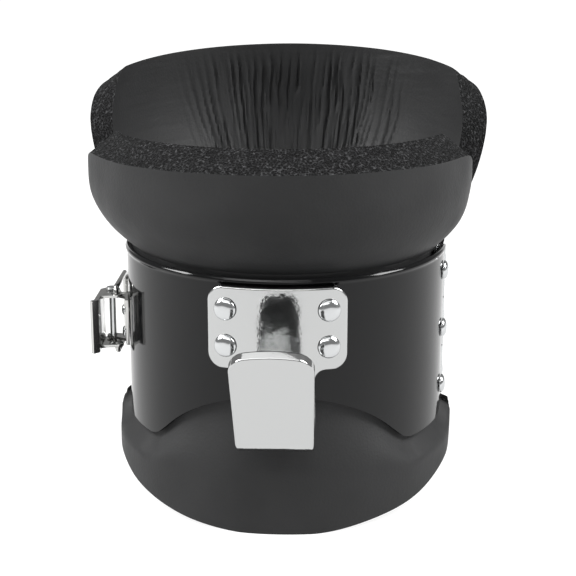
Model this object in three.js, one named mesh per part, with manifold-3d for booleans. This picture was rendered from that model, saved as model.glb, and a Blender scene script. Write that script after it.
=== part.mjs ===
// Inversion boot (one hanging ankle cuff): a two-part steel shell on a vertical hinge, thick foam
// linings with flared collars, a J-shaped hook on the front and an over-centre latch on the side.
// Millimetres, +Z up. Angles run round the leg axis from the front (-Y) towards the hinge side (+X).
import * as THREE from "three";
import { mergeVertices } from "three/addons/utils/BufferGeometryUtils.js";
import Module from "manifold-3d";

const wasm = await Module();
wasm.setup();

// ---------------------------------------------------------------- driving dimensions
const GAP = 0.3; // air kept between pieces that touch
const SPAN = 200; // longer than any cut needs to be

const shell = {
  outerRadius: 70,
  wall: 2,
  top: 108.6, // the rim above the floor
  lobeDrop: 76.6, // from the rim down to the two side lobes
  archDrop: 49.6, // and to the crown of the arch over the instep
  archRadius: 78, // measured along the developed sheet
  lobeFillet: 9,
  bottomCorner: 14,
  topCorner: 6,
  splitGap: 7, // between the two halves at the hinge and at the latch
};
const pad = {
  thickness: 12.5,
  splitGap: 8,
  lowerFlare: 7, // how far the skirt stands out past the lining
  lowerFlareRun: 10, // height it takes at the split
  archFlareRun: 44, // and under the arch
  skirtDepth: 12, // foam below the lobes at the split, where the bottom edge has climbed
  footHalfAngle: 12, // flat stretch the cuff stands on
  cornerBottom: 14,
  cornerInset: 3,
  topTilt: 8, // the cut top edge is higher on the inside
};
// A collar: its height above the shell's rim, how far it flares out, over what height and how sharply,
// the round corner at each end of its edge, and how far that edge drops towards the ends.
const frontCollar = { height: 52.4, flare: 15.6, run: 32, power: 2.5, corner: 16, drop: 3 };
const rearCollar = { height: 76.4, flare: 22.2, run: 55, power: 2.2, corner: 18, drop: 7 };
const hook = {
  thickness: 4.5,
  plateWidth: 54.6,
  plateHeight: 34.5,
  rimDrop: 2.7, // from the shell's rim down to the plate
  plateCorner: 6.5,
  neckHalfWidth: 15,
  neckFillet: 4,
  neckRun: 16.6, // from the plate down to the bend's centre
  bendRadius: 8.5, // inside
  lean: 29, // degrees the tongue leans out from vertical
  tongueLength: 47,
  tipHalfWidth: 16.2,
  tipCorner: 6,
  tipBow: 2.4, // the end of the tongue is bowed by this much
  rivetSpread: 19.7, // along the shell from the middle
  rivetUpperDrop: 9.3, // from the top of the plate
  rivetLowerDrop: 24.6,
};
const rivet = { headRadius: 4.7, headHeight: 2.2, shankRadius: 2.2, tailRadius: 3.4, tailHeight: 0.9 };
const smallRivet = { headRadius: 4.2, headHeight: 2.1, shankRadius: 1.8, tailRadius: 2.8, tailHeight: 0.8 };
const latchRivet = { headRadius: 2.4, headHeight: 1.1, shankRadius: 1.2, tailRadius: 2.1, tailHeight: 0.7 };
const hinge = {
  pinRadius: 1.25,
  knuckleRadius: 2.6,
  runningGap: 0.35,
  leafWall: 1.5,
  leafReach: 19,
  lobeClear: 5.4, // from the shell's lowest point up to the leaves
  rimClear: 4, // and from the rim down to them
  knuckleGap: 0.4,
  rivetPitch: 26.2,
  rivetReach: 10.26, // along the shell from the split line
  pinHeadOver: 0.9, // head radius beyond the pin's
  pinHeadHeight: 1,
  openingAngle: 70,
};
const latch = {
  rise: 2, // of its middle above the hinge's
  baseWall: 1.5,
  baseStart: 3, // from the split plane towards the front
  baseReach: 17,
  baseRivetInset: 4, // from the far end of the base
  rivetHalfPitch: 5,
  earWall: 1.2,
  earOutside: 10.4,
  earRadius: 2.8,
  earFoot: 6.5, // how far in front of the pivot the ear meets the base
  pivotY: -5,
  pivotOut: 7.5, // out from the shell's outer radius
  pivotRadius: 1.5,
  pivotHead: 2.4,
  pivotHeadHeight: 0.7,
  leverHalfHeight: 12,
  leverWall: 1.2,
  leverPlate: 1.6,
  leverPlateOut: 10.9,
  leverTipY: -24,
  lipOut: 1.6, // the lever's tip turns out by this much for a finger
  flangeFrontY: -16,
  flangeRadius: 3.7, // round the pivot
  bailEyeRadius: 2.9, // round the bail's stub
  bailBack: 7.5, // bail pivot to lever pivot, along Y
  bailIn: 2.9, // and inwards
  bailWire: 1.2, // radius
  bailLegZ: 14.8,
  catchWireY: 15,
  catchWireOut: 4.4,
  catchStart: 4.5,
  catchReach: 19,
  catchRivetReach: 7.5,
  catchHalfHeight: 10,
  catchLipY: 12.6,
  catchLipOut: 4,
  catchLipHalfWall: 0.75,
};
const pocketRound = { rivet: 5, latchRivet: 4, leaf: 1 }; // room in the foam beside what presses into it

// ---------------------------------------------------------------- derived sizes
const RAD = Math.PI / 180;
const shellInner = shell.outerRadius - shell.wall;
const archTop = shell.top - shell.archDrop;
const lobeBottom = shell.top - shell.lobeDrop;
const skirtRise = lobeBottom - pad.skirtDepth;
const padOuter = shellInner - GAP;
const padInner = padOuter - pad.thickness;
const plateInner = shell.outerRadius + GAP;
const plateOuter = plateInner + hook.thickness;
const leafOuter = shellInner - GAP;
const leafInner = leafOuter - hinge.leafWall;
const hingeX = shellInner + 0.2;
const hingeBottom = lobeBottom + hinge.lobeClear;
const hingeTop = shell.top - hinge.rimClear;
const hingeMiddle = (hingeBottom + hingeTop) / 2;
const latchZ = hingeMiddle + latch.rise;
const latchPlateOuter = plateInner + latch.baseWall;
const plateTop = shell.top - hook.rimDrop;
const plateBottom = plateTop - hook.plateHeight;
const alongShell = (length) => length / shell.outerRadius / RAD; // an arc length on the shell as degrees

// ---------------------------------------------------------------- mesh helpers
const polar = (radius, degrees, z) =>
  new THREE.Vector3(radius * Math.sin(degrees * RAD), -radius * Math.cos(degrees * RAD), z);

function closed(geometry) {
  geometry.deleteAttribute("normal");
  geometry.deleteAttribute("uv");
  return mergeVertices(geometry, 1e-4);
}

function toSolid(geometry) {
  const tidy = closed(geometry);
  return new wasm.Manifold(new wasm.Mesh({
    numProp: 3,
    vertProperties: new Float32Array(tidy.attributes.position.array),
    triVerts: new Uint32Array(tidy.index.array),
  }));
}

function toGeometry(solid) {
  const mesh = solid.getMesh();
  const geometry = new THREE.BufferGeometry();
  geometry.setAttribute("position", new THREE.BufferAttribute(mesh.vertProperties, 3));
  geometry.setIndex(new THREE.BufferAttribute(mesh.triVerts, 1));
  return geometry;
}

// A closed sheet between two surfaces over one grid; u runs along columns and v along rows.
function sheet(columns, rows, front, back) {
  const points = [];
  const index = [];
  const at = (side, i, j) => (side * columns.length + i) * rows.length + j;
  for (const surface of [front, back]) {
    for (const u of columns) for (const v of rows) points.push(...surface(u, v).toArray());
  }
  const quad = (a, b, c, d) => index.push(a, b, c, a, c, d);
  const lastU = columns.length - 1;
  const lastV = rows.length - 1;
  for (let i = 0; i < lastU; i += 1) {
    for (let j = 0; j < lastV; j += 1) {
      quad(at(0, i, j), at(0, i + 1, j), at(0, i + 1, j + 1), at(0, i, j + 1));
      quad(at(1, i, j), at(1, i, j + 1), at(1, i + 1, j + 1), at(1, i + 1, j));
    }
    quad(at(1, i, 0), at(1, i + 1, 0), at(0, i + 1, 0), at(0, i, 0));
    quad(at(0, i, lastV), at(0, i + 1, lastV), at(1, i + 1, lastV), at(1, i, lastV));
  }
  for (let j = 0; j < lastV; j += 1) {
    quad(at(0, 0, j), at(0, 0, j + 1), at(1, 0, j + 1), at(1, 0, j));
    quad(at(1, lastU, j), at(1, lastU, j + 1), at(0, lastU, j + 1), at(0, lastU, j));
  }
  const geometry = new THREE.BufferGeometry();
  geometry.setAttribute("position", new THREE.Float32BufferAttribute(points, 3));
  geometry.setIndex(index);
  return geometry;
}

const steps = (from, to, count) =>
  Array.from({ length: count + 1 }, (_, k) => from + ((to - from) * k) / count);

// Rows for a strip whose ends are rounded: a quarter circle of `corner` at each end that has one.
function roundedRows(low, high, corner, lowRound = true, highRound = true) {
  const arc = [0, 0.13, 0.5, 1].map((part) => part * corner);
  const start = lowRound ? arc.map((d) => low + d) : [low];
  const end = highRound ? arc.map((d) => high - d).reverse() : [high];
  return [...start, ...end];
}

// How far the side of a rounded end is drawn in at distance d from that end.
function drawnIn(d, corner) {
  const inside = corner - Math.min(Math.max(d, 0), corner);
  return corner - Math.sqrt(corner ** 2 - inside ** 2);
}

// A plate rolled to the shell's curve, with rounded corners; its width is an arc length at r0.
function rolledPlate({ centre, halfWidth, low, high, r0, r1, corner = 0, cells = 8 }) {
  const rows = corner > 0 ? roundedRows(low, high, corner) : [low, high];
  const columns = steps(-1, 1, cells);
  const side = (radius) => (u, z) => {
    const inset = corner > 0 ? drawnIn(Math.min(z - low, high - z), corner) : 0;
    return polar(radius, centre + (u * (halfWidth - inset)) / r0 / RAD, z);
  };
  return sheet(columns, rows, side(r1), side(r0));
}

// A prism: an outline in the XY plane carried from one height to another.
function prism(outline, low, high) {
  const shape = new THREE.Shape(outline.map(([x, y]) => new THREE.Vector2(x, y)));
  return new THREE.ExtrudeGeometry(shape, { depth: high - low, bevelEnabled: false }).translate(0, 0, low);
}

function post(x, y, low, high, radius, sides = 16) {
  return new THREE.CylinderGeometry(radius, radius, high - low, sides)
    .rotateX(Math.PI / 2)
    .translate(x, y, (low + high) / 2);
}

// A radial pin through the shell wall at an angle and a height.
function radialHole(radius, degrees, z, near, far) {
  return new THREE.CylinderGeometry(radius, radius, far - near, 12)
    .rotateZ(-Math.PI / 2)
    .translate((near + far) / 2, 0, 0)
    .rotateZ((degrees - 90) * RAD)
    .translate(0, 0, z);
}

// A domed rivet turned about its own axis: its dome stands on radius `seat`, its tail under `under`.
function rivetShape(size, seat, under) {
  const dome = [0, 30, 62, 90].map((t) => new THREE.Vector2(
    size.headRadius * Math.cos((90 - t) * RAD), seat + size.headHeight * Math.sin((90 - t) * RAD)));
  const profile = [
    new THREE.Vector2(0, under - size.tailHeight),
    new THREE.Vector2(size.tailRadius, under - size.tailHeight),
    new THREE.Vector2(size.tailRadius, under),
    new THREE.Vector2(size.shankRadius, under),
    new THREE.Vector2(size.shankRadius, seat),
    ...dome.reverse(),
  ];
  profile[profile.length - 1].x = 0;
  return new THREE.LatheGeometry(profile, 10).rotateZ(-Math.PI / 2);
}

const steelBlack = new THREE.MeshStandardMaterial({ color: 0x17181a, roughness: 0.25, metalness: 0.1 });
const foamBlack = new THREE.MeshStandardMaterial({ color: 0x232426, roughness: 0.8, metalness: 0 });
const chrome = new THREE.MeshStandardMaterial({ color: 0xd8dadb, roughness: 0.12, metalness: 1 });
const zinc = new THREE.MeshStandardMaterial({ color: 0xc4c6c8, roughness: 0.3, metalness: 1 });

const group = new THREE.Group();
function add(name, shape, material) {
  const geometry = shape instanceof THREE.BufferGeometry ? closed(shape) : toGeometry(shape);
  geometry.computeVertexNormals();
  const mesh = new THREE.Mesh(geometry, material);
  mesh.name = name;
  group.add(mesh);
  return mesh;
}

// ---------------------------------------------------------------- shell halves
const halfSpread = Math.asin(shell.splitGap / 2 / shell.outerRadius) / RAD;
const shellEnd = 90 - halfSpread;
const developedEnd = shellEnd * RAD * shell.outerRadius;

// Lower edge of the shell at arc length s from the middle of a half.
function shellLow(s) {
  const distance = Math.abs(s);
  const inArch = Math.min(distance, shell.archRadius);
  const arch = archTop - shell.archRadius + Math.sqrt(shell.archRadius ** 2 - inArch ** 2);
  const k = shell.lobeFillet;
  const blend = Math.max(k - Math.abs(arch - lobeBottom), 0) / k;
  const edge = Math.max(arch, lobeBottom) + blend * blend * k * 0.2;
  return edge + drawnIn(developedEnd - distance, shell.bottomCorner);
}
const shellHigh = (s) => shell.top - drawnIn(developedEnd - Math.abs(s), shell.topCorner);

// Arc lengths at which the sheet has a column: even ones, more where the arch turns into the lobe and
// more in the rounded corner.
function shellColumns() {
  const cornerStart = developedEnd - shell.bottomCorner;
  const archDepth = shell.archRadius - archTop + lobeBottom;
  const lobeStart = Math.sqrt(shell.archRadius ** 2 - archDepth ** 2);
  const even = steps(0, cornerStart, 12);
  const lobe = [-6, -1, 3, 8].map((part) => lobeStart + part).filter((s) => s > 0 && s < cornerStart);
  const apart = even.filter((s) => lobe.every((other) => Math.abs(other - s) > 2));
  const corner = [0.72, 0.45, 0.22, 0.1, 0.03, 0].map((part) => developedEnd - shell.bottomCorner * part);
  const half = [...apart, ...lobe, ...corner].sort((a, b) => a - b);
  return [...half.slice(1).map((s) => -s).reverse(), ...half];
}

function shellHalf(middle) {
  const side = (radius) => (s, v) =>
    polar(radius, middle + alongShell(s), shellLow(s) + v * (shellHigh(s) - shellLow(s)));
  return toSolid(sheet(shellColumns(), [0, 1], side(shell.outerRadius), side(shellInner)));
}

// ---------------------------------------------------------------- foam linings
const smooth = (x) => {
  const t = Math.min(Math.max(x, 0), 1);
  return t * t * (3 - 2 * t);
};
const padEndAngle = 90;
const padDevelopedEnd = padEndAngle * RAD * shell.outerRadius;

// Outer radius of the lining: inside the shell, standing out below its edge and above its rim.
function padRadius(z, s, collar) {
  const run = pad.archFlareRun + (pad.lowerFlareRun - pad.archFlareRun) * smooth(s / shell.outerRadius);
  const below = pad.lowerFlare * smooth((shellLow(s) - GAP - z) / run);
  const climb = Math.min(Math.max((z - shell.top - GAP) / collar.run, 0), 1);
  return padOuter + below + collar.flare * (1 - (1 - climb) ** collar.power);
}

function padHalf(middle, collar) {
  const half = [0, 7, 14, 21, 28, 35, 42, 49, 56, 62, 67, 71, 74.5, 77.5, 80, 82, 84, 86, 88, padEndAngle];
  const columns = [...half.slice(1).map((a) => -a).reverse(), ...half];
  const collarEnd = Math.tan((hinge.openingAngle / 2) * RAD) * (padOuter + collar.flare - hingeX);
  const fromEnd = (a) => padDevelopedEnd - Math.abs(a) * RAD * shell.outerRadius;
  const edgeTop = shell.top + collar.height - pad.topTilt;
  const topAt = (a) => edgeTop - collar.drop * (1 - Math.cos(a * RAD))
    - drawnIn(fromEnd(a) - collarEnd, collar.corner);
  const bottomAt = (a) => {
    const rise = Math.max(Math.cos(pad.footHalfAngle * RAD) - Math.cos(a * RAD), 0) * skirtRise;
    return rise + drawnIn(fromEnd(a) - pad.cornerInset, pad.cornerBottom);
  };
  const arcAt = (a) => Math.min(Math.abs(a) * RAD * shell.outerRadius, developedEnd);
  const rowParts = [0, 0.25, 0.5, 0.75, 1, 2, 2.06, 2.14, 2.25, 2.4, 2.6, 2.8, 3];
  const heightAt = (a, v) => {
    const levels = [bottomAt(a), shellLow(arcAt(a)) - GAP, shell.top + GAP, topAt(a)];
    const k = Math.min(Math.floor(v), 2);
    return levels[k] + (v - k) * (levels[k + 1] - levels[k]);
  };
  const outer = (a, v) => {
    const z = heightAt(a, v);
    return polar(padRadius(z, arcAt(a), collar), middle + a, z);
  };
  // the inner skin lies one thickness in, square to the outer one
  const inner = (a, v) => {
    const z = heightAt(a, v);
    const s = arcAt(a);
    const reach = 0.5;
    const slope = (padRadius(z + reach, s, collar) - padRadius(z - reach, s, collar)) / (2 * reach);
    const lean = Math.atan(slope) * smooth((z - shell.top) / pad.thickness) * smooth((3 - v) / 0.3);
    const radius = padRadius(z, s, collar) - pad.thickness * Math.cos(lean);
    return polar(radius, middle + a, z + pad.thickness * Math.sin(lean) + pad.topTilt * smooth(v - 2));
  };
  return toSolid(sheet(columns, rowParts, outer, inner));
}

// The room between the two linings: a slot, widening outside the hinge so that the collars can turn.
function splitRoom() {
  const half = pad.splitGap / 2;
  const slope = Math.tan((hinge.openingAngle / 2 + 1) * RAD);
  const turn = hingeX + half / slope;
  const far = SPAN - hingeX;
  const wide = (far - hingeX) * slope;
  const outline = [
    [-turn, -half], [turn, -half], [far, -wide], [far, wide],
    [turn, half], [-turn, half], [-far, wide], [-far, -wide],
  ];
  return toSolid(prism(outline, -SPAN, SPAN * 2));
}

// ---------------------------------------------------------------- build: front half
const hookAngles = [-alongShell(hook.rivetSpread), alongShell(hook.rivetSpread)];
const hookHeights = [plateTop - hook.rivetUpperDrop, plateTop - hook.rivetLowerDrop];
const hingeHeights = [hingeMiddle + hinge.rivetPitch, hingeMiddle, hingeMiddle - hinge.rivetPitch];
const latchHeights = [latchZ + latch.rivetHalfPitch, latchZ - latch.rivetHalfPitch];
const baseRivetAngle = -90 + alongShell(latch.baseReach - latch.baseRivetInset);
const catchRivetAngle = -90 - alongShell(latch.catchRivetReach);
const leafRivetFront = 90 - alongShell(hinge.rivetReach);
const leafRivetRear = 90 + alongShell(hinge.rivetReach);

function drill(solid, size, angle, heights) {
  const far = plateOuter + hook.thickness;
  return heights.reduce((body, z) => body.subtract(
    toSolid(radialHole(size.shankRadius + GAP, angle, z, padInner, far))), solid);
}

let frontShell = shellHalf(0);
for (const angle of hookAngles) frontShell = drill(frontShell, rivet, angle, hookHeights);
frontShell = drill(frontShell, smallRivet, leafRivetFront, hingeHeights);
frontShell = drill(frontShell, latchRivet, baseRivetAngle, latchHeights);
add("front_shell", frontShell, steelBlack);

let rearShell = shellHalf(180);
rearShell = drill(rearShell, smallRivet, leafRivetRear, hingeHeights);
rearShell = drill(rearShell, latchRivet, catchRivetAngle, latchHeights);
add("rear_shell", rearShell, steelBlack);

// pockets the foam is pressed into by whatever stands inside the shell
const pocket = (centre, halfWidth, low, high, depth) =>
  toSolid(rolledPlate({ centre, halfWidth, low, high, r0: depth, r1: padOuter + GAP, cells: 6 }));
const hookPocketDepth = shellInner - 2 * GAP - rivet.tailHeight - GAP;
const leafPocketDepth = leafInner - 2 * GAP - smallRivet.tailHeight - GAP;
const latchPocketDepth = shellInner - 2 * GAP - latchRivet.tailHeight - GAP;
const leafHalf = hinge.leafReach / 2 + 3;
const leafPocket = (direction) => pocket(90 + direction * alongShell(leafHalf - 2), leafHalf,
  hingeBottom - pocketRound.leaf, hingeTop + pocketRound.leaf, leafPocketDepth);
const latchPocketHalf = latch.rivetHalfPitch + pocketRound.latchRivet;
const latchPocket = (angle) => pocket(angle, pocketRound.latchRivet,
  latchZ - latchPocketHalf, latchZ + latchPocketHalf, latchPocketDepth);

let frontPad = padHalf(0, frontCollar).subtract(splitRoom());
for (const angle of hookAngles) {
  for (const z of hookHeights) {
    const room = pocketRound.rivet;
    frontPad = frontPad.subtract(pocket(angle, room, z - room, z + room, hookPocketDepth));
  }
}
frontPad = frontPad.subtract(leafPocket(-1));
frontPad = frontPad.subtract(latchPocket(baseRivetAngle));
add("front_pad", frontPad, foamBlack);

let rearPad = padHalf(180, rearCollar).subtract(splitRoom());
rearPad = rearPad.subtract(leafPocket(1));
rearPad = rearPad.subtract(latchPocket(catchRivetAngle));
add("rear_pad", rearPad, foamBlack);

// ---------------------------------------------------------------- hook
function hookStrap() {
  const half = hook.thickness / 2;
  const middleRadius = hook.bendRadius + half;
  const neckY = -(plateInner + half);
  const centreY = neckY - middleRadius;
  const rootZ = plateBottom + hook.neckFillet + 2;
  const bendZ = plateBottom - hook.neckRun;
  const neckLength = rootZ - bendZ;
  const bendLength = (180 - hook.lean) * RAD * middleRadius;
  const whole = neckLength + bendLength + hook.tongueLength;
  const station = (s) => {
    if (s <= neckLength) return { y: neckY, z: rootZ - s, ny: -1, nz: 0 };
    const beta = Math.min((s - neckLength) / middleRadius, bendLength / middleRadius);
    const past = Math.max(s - neckLength - bendLength, 0);
    const ny = -Math.cos(beta);
    const nz = Math.sin(beta);
    return { y: centreY - middleRadius * ny - past * nz, z: bendZ - middleRadius * nz + past * ny, ny, nz };
  };
  const halfWidthAt = (s) => {
    const belowPlate = s - (rootZ - plateBottom);
    const fillet = belowPlate < 0 ? hook.neckFillet : drawnIn(belowPlate, hook.neckFillet);
    const spread = hook.tipHalfWidth - hook.neckHalfWidth;
    const flare = spread * smooth((s - neckLength) / (whole - neckLength));
    return hook.neckHalfWidth + fillet + flare - drawnIn(whole - s, hook.tipCorner);
  };
  const crownAt = (s) => 1 - smooth((s - neckLength) / (bendLength * 0.6));
  const bowRun = 2 * hook.tipCorner;
  const bowAt = (u, s) => hook.tipBow * (1 - u * u) * smooth((s - whole + bowRun) / bowRun);
  const face = (side) => (u, s) => {
    const at = station(s + bowAt(u, s));
    const x = u * halfWidthAt(s);
    const offset = side * half - (crownAt(s) * x * x) / (2 * (plateInner + half));
    return new THREE.Vector3(x, at.y + at.ny * offset, at.z + at.nz * offset);
  };
  const below = rootZ - plateBottom;
  const tip = roundedRows(0, hook.tipCorner, hook.tipCorner, false, true);
  const stations = [
    0, below - 0.01, below + 0.3, below + 1.2, below + 2.4, below + hook.neckFillet, neckLength,
    ...steps(0, 1, 12).slice(1).map((part) => neckLength + bendLength * part),
    neckLength + bendLength + hook.tongueLength / 2,
    whole - bowRun,
    whole - 1.5 * hook.tipCorner,
    ...tip.slice(1).map((part) => whole - hook.tipCorner + part),
  ];
  const rows = stations.filter((s, k) => k === 0 || s - stations[k - 1] > 0.005);
  return toSolid(sheet(steps(-1, 1, 8), rows, face(-1), face(1)));
}

const hookPlate = toSolid(rolledPlate({
  centre: 0, halfWidth: hook.plateWidth / 2, low: plateBottom, high: plateTop,
  r0: plateInner, r1: plateOuter, corner: hook.plateCorner, cells: 14,
}));
let hookBody = hookPlate.add(hookStrap());
for (const angle of hookAngles) hookBody = drill(hookBody, rivet, angle, hookHeights);
add("hook", hookBody, chrome);

// ---------------------------------------------------------------- rivets
// One rivet at each height, at an angle, between the outer radius `seat` and the inner radius `under`.
function addRivets(names, size, angle, heights, seat, under) {
  names.forEach((name, k) => {
    const mesh = add(name, rivetShape(size, seat + GAP, under - GAP), zinc);
    mesh.rotation.z = (angle - 90) * RAD;
    mesh.position.z = heights[k];
  });
}
const shellOuter = shell.outerRadius;
const hookLeft = ["hook_rivet_upper_left", "hook_rivet_lower_left"];
const hookRight = ["hook_rivet_upper_right", "hook_rivet_lower_right"];
const leafFront = ["hinge_rivet_front_top", "hinge_rivet_front_middle", "hinge_rivet_front_bottom"];
const leafRear = ["hinge_rivet_rear_top", "hinge_rivet_rear_middle", "hinge_rivet_rear_bottom"];
const baseRivets = ["latch_base_rivet_upper", "latch_base_rivet_lower"];
const catchRivets = ["catch_rivet_upper", "catch_rivet_lower"];
addRivets(hookLeft, rivet, hookAngles[0], hookHeights, plateOuter, shellInner);
addRivets(hookRight, rivet, hookAngles[1], hookHeights, plateOuter, shellInner);
addRivets(leafFront, smallRivet, leafRivetFront, hingeHeights, shellOuter, leafInner);
addRivets(leafRear, smallRivet, leafRivetRear, hingeHeights, shellOuter, leafInner);
addRivets(baseRivets, latchRivet, baseRivetAngle, latchHeights, latchPlateOuter, shellInner);
addRivets(catchRivets, latchRivet, catchRivetAngle, latchHeights, latchPlateOuter, shellInner);

// ---------------------------------------------------------------- hinge
const knuckleEnds = steps(hingeBottom, hingeTop, 3);
const knuckleGap = hinge.knuckleGap;
const pinHole = hinge.pinRadius + hinge.runningGap;

function hingeLeaf(direction, knuckles) {
  const foreign = [0, 1, 2].filter((k) => !knuckles.includes(k));
  const startArc = hinge.knuckleRadius * 0.6;
  let leaf = toSolid(rolledPlate({
    centre: 90 + direction * ((startArc + hinge.leafReach) / 2 / leafOuter / RAD),
    halfWidth: (hinge.leafReach - startArc) / 2,
    low: hingeBottom,
    high: hingeTop,
    r0: leafInner,
    r1: leafOuter,
    cells: 4,
  }));
  for (const k of knuckles) {
    const low = knuckleEnds[k] + (k === 0 ? 0 : knuckleGap / 2);
    const high = knuckleEnds[k + 1] - (k === 2 ? 0 : knuckleGap / 2);
    leaf = leaf.add(toSolid(post(hingeX, 0, low, high, hinge.knuckleRadius)));
  }
  for (const k of foreign) {
    const low = knuckleEnds[k] - knuckleGap / 2;
    const high = knuckleEnds[k + 1] + knuckleGap / 2;
    leaf = leaf.subtract(toSolid(post(hingeX, 0, low, high, hinge.knuckleRadius + knuckleGap)));
  }
  leaf = leaf.subtract(toSolid(post(hingeX, 0, 0, SPAN, pinHole)));
  return drill(leaf, smallRivet, 90 + direction * alongShell(hinge.rivetReach), hingeHeights);
}
add("hinge_leaf_front", hingeLeaf(-1, [0, 2]), zinc);
add("hinge_leaf_rear", hingeLeaf(1, [1]), zinc);

// A pin with a head at each end, turned about +Z, whose shank runs from one height to another.
function headedPin(radius, head, headHeight, low, high) {
  const profile = [
    [0, low - headHeight], [head, low - headHeight], [head, low], [radius, low],
    [radius, high], [head, high], [head, high + headHeight], [0, high + headHeight],
  ].map(([r, z]) => new THREE.Vector2(r, z));
  return new THREE.LatheGeometry(profile, 16).rotateX(Math.PI / 2);
}
const hingePin = headedPin(hinge.pinRadius, hinge.pinRadius + hinge.pinHeadOver, hinge.pinHeadHeight,
  hingeBottom - GAP, hingeTop + GAP);
add("hinge_pin", hingePin, zinc).position.set(hingeX, 0, 0);

// ---------------------------------------------------------------- latch
// Outlines are drawn in (out, y): out is the distance from the shell's outer radius towards -X.
const outward = ([out, y]) => [-(shell.outerRadius + out), y];
const pivot = { out: latch.pivotOut, y: latch.pivotY };
const bailPivot = { out: latch.pivotOut - latch.bailIn, y: latch.pivotY - latch.bailBack };
const roundAbout = (centre, radius, from, to, count) => steps(from, to, count).map((t) =>
  [centre.out + radius * Math.sin(t * RAD), centre.y + radius * Math.cos(t * RAD)]);

function latchBase() {
  let base = toSolid(rolledPlate({
    centre: -90 + (latch.baseReach + latch.baseStart) / 2 / plateInner / RAD,
    halfWidth: (latch.baseReach - latch.baseStart) / 2,
    low: latchZ - latch.earOutside,
    high: latchZ + latch.earOutside,
    r0: plateInner,
    r1: latchPlateOuter,
    cells: 4,
  }));
  const foot = latch.baseWall;
  const ear = [
    [foot - 0.9, pivot.y - latch.earFoot],
    [foot, pivot.y + 1],
    ...roundAbout(pivot, latch.earRadius, -5, 190, 8),
  ].map(outward);
  for (const side of [-1, 1]) {
    const far = latchZ + side * latch.earOutside;
    const near = far - side * latch.earWall;
    base = base.add(toSolid(prism(ear, Math.min(far, near), Math.max(far, near))));
  }
  base = base.subtract(toSolid(post(...outward([pivot.out, pivot.y]), 0, SPAN, latch.pivotRadius + GAP)));
  return drill(base, latchRivet, baseRivetAngle, latchHeights);
}
add("latch_base", latchBase(), chrome);

const pivotEnd = latch.leverHalfHeight + GAP;
const pivotPin = headedPin(latch.pivotRadius, latch.pivotHead, latch.pivotHeadHeight, -pivotEnd, pivotEnd);
add("latch_pivot_pin", pivotPin, zinc).position.set(-(shell.outerRadius + pivot.out), pivot.y, latchZ);

function latchLever() {
  const plateOut = latch.leverPlateOut;
  const top = plateOut + latch.leverPlate;
  const plate = [
    [plateOut, pivot.y],
    [top, pivot.y],
    [top, latch.leverTipY + 1.5],
    [top + latch.lipOut, latch.leverTipY],
    [top + latch.lipOut / 4, latch.leverTipY - 0.9],
    [plateOut - 0.3, latch.leverTipY + 1.2],
  ].map(outward);
  const flange = [
    [top, pivot.y],
    ...roundAbout(pivot, latch.flangeRadius, 50, -85, 6),
    ...roundAbout(bailPivot, latch.bailEyeRadius, -90, -165, 4),
    [plateOut - 2, latch.flangeFrontY],
    [top, latch.flangeFrontY - 2],
  ];
  let lever = toSolid(prism(plate, latchZ - latch.leverHalfHeight, latchZ + latch.leverHalfHeight));
  for (const side of [-1, 1]) {
    const far = latchZ + side * latch.leverHalfHeight;
    const near = far - side * latch.leverWall;
    lever = lever.add(toSolid(prism(flange.map(outward), Math.min(far, near), Math.max(far, near))));
  }
  for (const [centre, radius] of [[pivot, latch.pivotRadius], [bailPivot, latch.bailWire]]) {
    lever = lever.subtract(toSolid(post(...outward([centre.out, centre.y]), 0, SPAN, radius + GAP)));
  }
  return lever;
}
add("latch_lever", latchLever(), chrome);

// The bail is one bent wire: a stub in each flange, two legs and the bar that draws the catch in.
function latchBail() {
  const bar = { x: -(shell.outerRadius + latch.catchWireOut), y: latch.catchWireY };
  const root = { x: -(shell.outerRadius + bailPivot.out), y: bailPivot.y };
  const r = latch.bailWire;
  const rod = (a, b) => {
    const along = b.clone().sub(a).normalize();
    const turn = new THREE.Quaternion().setFromUnitVectors(new THREE.Vector3(0, 1, 0), along);
    const middle = a.clone().add(b).multiplyScalar(0.5);
    const round = new THREE.CylinderGeometry(r, r, a.distanceTo(b), 10);
    return toSolid(round.applyQuaternion(turn).translate(middle.x, middle.y, middle.z));
  };
  const elbow = (p) => toSolid(new THREE.SphereGeometry(r * 1.03, 10, 6).translate(p.x, p.y, p.z));
  const pieces = [];
  for (const side of [-1, 1]) {
    const z = latchZ + side * latch.bailLegZ;
    const stubZ = latchZ + side * (latch.leverHalfHeight - latch.leverWall - 0.2);
    const start = new THREE.Vector3(root.x, root.y, z);
    const end = new THREE.Vector3(bar.x, bar.y, z);
    pieces.push(rod(new THREE.Vector3(root.x, root.y, stubZ), start), rod(start, end));
    pieces.push(elbow(start), elbow(end));
  }
  pieces.push(rod(new THREE.Vector3(bar.x, bar.y, latchZ - latch.bailLegZ),
    new THREE.Vector3(bar.x, bar.y, latchZ + latch.bailLegZ)));
  return pieces.reduce((body, piece) => body.add(piece));
}
add("latch_bail", latchBail(), chrome);

function catchPlate() {
  let plate = toSolid(rolledPlate({
    centre: -90 - (latch.catchReach + latch.catchStart) / 2 / plateInner / RAD,
    halfWidth: (latch.catchReach - latch.catchStart) / 2,
    low: latchZ - latch.catchHalfHeight,
    high: latchZ + latch.catchHalfHeight,
    r0: plateInner,
    r1: latchPlateOuter,
    cells: 4,
  }));
  const lipRadius = shell.outerRadius + latch.catchLipOut;
  plate = plate.add(toSolid(rolledPlate({
    centre: -90 - Math.asin(latch.catchLipY / lipRadius) / RAD,
    halfWidth: latch.catchLipHalfWall,
    low: latchZ - latch.catchHalfHeight + 1,
    high: latchZ + latch.catchHalfHeight - 1,
    r0: plateInner + 0.5,
    r1: lipRadius,
    cells: 1,
  })));
  return drill(plate, latchRivet, catchRivetAngle, latchHeights);
}
add("catch_plate", catchPlate(), chrome);

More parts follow.
